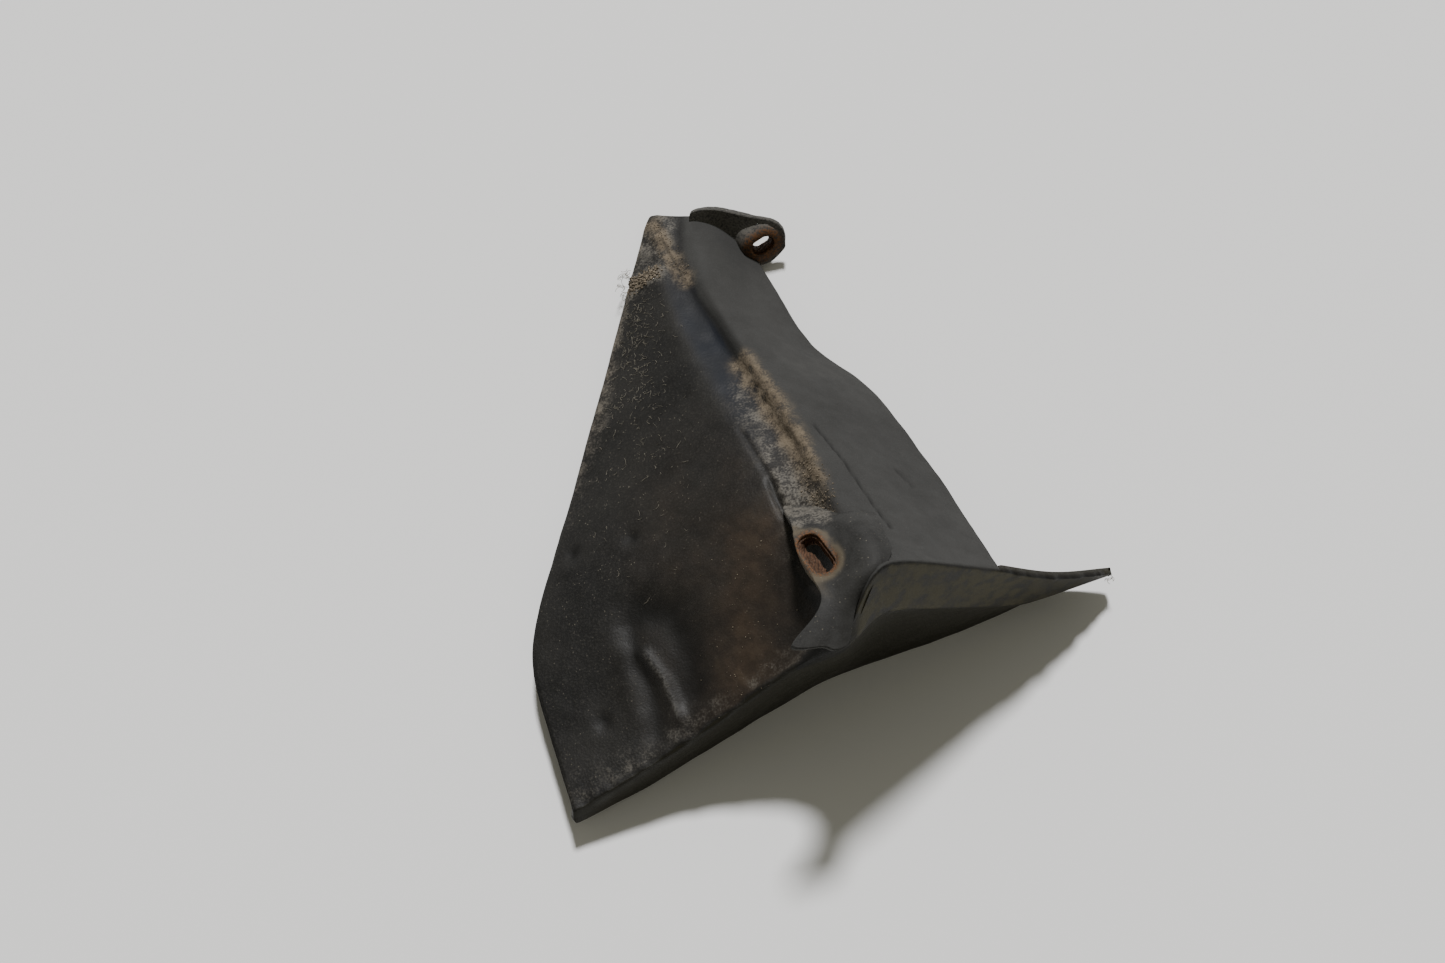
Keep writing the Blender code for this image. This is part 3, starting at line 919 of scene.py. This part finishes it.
def fibre(bm, path, radius):
    """A thin closed tube along a path."""
    loops = []
    for i, point in enumerate(path):
        way = (path[min(i + 1, len(path) - 1)] - path[max(i - 1, 0)]).normalized()
        side = way.cross(Vector((0.3, 0.2, 1))).normalized()
        other = way.cross(side)
        loops.append([bm.verts.new(point + (side * math.cos(a) + other * math.sin(a)) * radius)
                      for a in (math.tau * k / FIBRE_SIDES for k in range(FIBRE_SIDES))])
    for loop, following in zip(loops, loops[1:]):
        bridge(bm, loop, following)
    bm.faces.new(reversed(loops[0]))
    bm.faces.new(loops[-1])


def dry_fibres(tree, finish):
    """Straw and hair lying on the left panel, with curls at its edge and at the tail."""
    chance = random.Random(FIBRES_SEED)
    bm = bmesh.new()
    for _ in range(FIBRE_COUNT):
        y = 92 - abs(chance.gauss(0, 55))
        x = -84 + 0.10 * (92 - y) * chance.uniform(-1.6, 2.6) + abs(chance.gauss(0, 7))
        length = chance.uniform(0.5, 1.6) / chance.uniform(0.35, 1)
        bend = chance.uniform(-0.9, 0.9)
        heading = chance.uniform(0, math.tau)
        path = []
        for step in range(FIBRE_POINTS):
            spot, normal = drop_on(tree, x, y)
            if spot is None or normal.z < 0.2:
                break
            lifted_end = 0.5 * chance.random() * (step in (0, FIBRE_POINTS - 1))
            path.append(spot + normal * (0.18 + lifted_end))
            x += math.cos(heading) * length / (FIBRE_POINTS - 1)
            y += math.sin(heading) * length / (FIBRE_POINTS - 1)
            heading += bend / 3
        if len(path) == FIBRE_POINTS:
            fibre(bm, path, chance.uniform(0.035, 0.075))
    for centre, size in CURLS:
        for _ in range(CURL_STRANDS):
            middle = Vector(centre) + Vector([chance.gauss(0, 0.7) for _ in range(3)])
            start, sweep = chance.uniform(0, math.tau), chance.uniform(2.2, 4.6)
            tilt = Matrix.Rotation(chance.uniform(-0.9, 0.9), 3, "X")
            reach = size * chance.uniform(0.6, 1.1)
            path = []
            for k in range(CURL_POINTS):
                angle = start + sweep * k / (CURL_POINTS - 1)
                path.append(middle + tilt @ Vector((math.cos(angle) * reach,
                                                    math.sin(angle) * reach, 0.12 * k)))
            fibre(bm, path, CURL_THICKNESS)
    return loose_piece("dry_fibres", bm, finish)


def loose_piece(name, bm, finish):
    bmesh.ops.recalc_face_normals(bm, faces=bm.faces)
    thing = mesh_object(name, bm)
    thing.data.materials.append(finish)
    return set_down(thing)


# ---------------------------------------------------------------- stage
def add_stage():
    side = FLOOR_HALF_SIDE
    mesh = bpy.data.meshes.new("floor")
    mesh.from_pydata([(-side, -side, 0), (side, -side, 0), (side, side, 0), (-side, side, 0)],
                     [], [(0, 1, 2, 3)])
    floor = add_object("floor", mesh)
    floor.location.z = -FLOOR_DROP
    paint = Paint("pale_floor")
    paint.shader.inputs["Base Color"].default_value = colour(*FLOOR_COLOUR)
    paint.shader.inputs["Roughness"].default_value = FLOOR_ROUGHNESS
    paint.shader.inputs["Specular IOR Level"].default_value = FLOOR_SPECULAR
    mesh.materials.append(paint.material)


def add_light():
    elevation = math.radians(SUN_ELEVATION)
    towards = Vector((0, math.cos(elevation), math.sin(elevation)))
    lamp = bpy.data.lights.new("key_light", "SUN")
    lamp.energy = SUN_STRENGTH
    lamp.angle = math.radians(SUN_WIDTH)
    lamp.color = SUN_COLOUR
    key = add_object("key_light", lamp)
    key.rotation_euler = towards.to_track_quat("Z", "Y").to_euler()
    world = bpy.data.worlds.new("soft_room")
    world.use_nodes = True
    sky = world.node_tree.nodes["Background"]
    sky.inputs["Color"].default_value = colour(*ROOM_COLOUR)
    sky.inputs["Strength"].default_value = ROOM_STRENGTH
    bpy.context.scene.world = world


def add_camera():
    elevation = math.radians(CAMERA_ELEVATION)
    target = (Vector(CAMERA_TARGET) + DRAWING_SHIFT) * MM
    back = Vector((0, -math.cos(elevation), math.sin(elevation)))
    lens = bpy.data.cameras.new("camera")
    lens.sensor_width = SENSOR_WIDTH
    lens.lens = LENS_LENGTH
    eye = add_object("camera", lens)
    eye.location = target + back * CAMERA_DISTANCE * MM
    eye.rotation_euler = back.to_track_quat("Z", "Y").to_euler()
    bpy.context.scene.camera = eye


def main():
    add_camera()
    add_light()
    add_stage()
    rubber, rust = rubber_material(), rust_material()
    mud = loose_material("dry_mud", "crumb", 0.8, 0.9)
    straw = loose_material("dry_straw", "straw", 2.0, 0.6)

    lower = make_ear("lower_ear", EAR_LINES, LOWER_SLOT, EAR_THICKNESS)
    upper = make_ear("upper_tab", [TAB_FOOT, halfway(TAB_FOOT, TAB_TOP), TAB_TOP],
                     UPPER_SLOT, RUBBER_THICKNESS)
    ear_masks(lower, LOWER_SLOT, upper=False)
    ear_masks(upper, UPPER_SLOT, upper=True)
    sheet = make_sheet(lower)
    tree = surface_finder(sheet)
    mud_grains(tree, mud)
    dry_fibres(tree, straw)
    for piece in (sheet, lower, upper):
        piece.data.materials.clear()
        piece.data.materials.append(rubber)
        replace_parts(set_down(piece), "flap_body")

    for name, node, slot, lean in (("lower_lining", "lower_eyelet", LOWER_SLOT, LOWER_LEAN),
                                   ("upper_lining", "upper_eyelet", UPPER_SLOT, None)):
        lining = make_lining(name, slot, lean)
        lining.data.materials.append(rust)
        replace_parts(set_down(lining), node)
    for node in ("lower_washer", "upper_washer"):
        for holder in bpy.data.objects[node].material_slots:
            holder.material = rust


main()
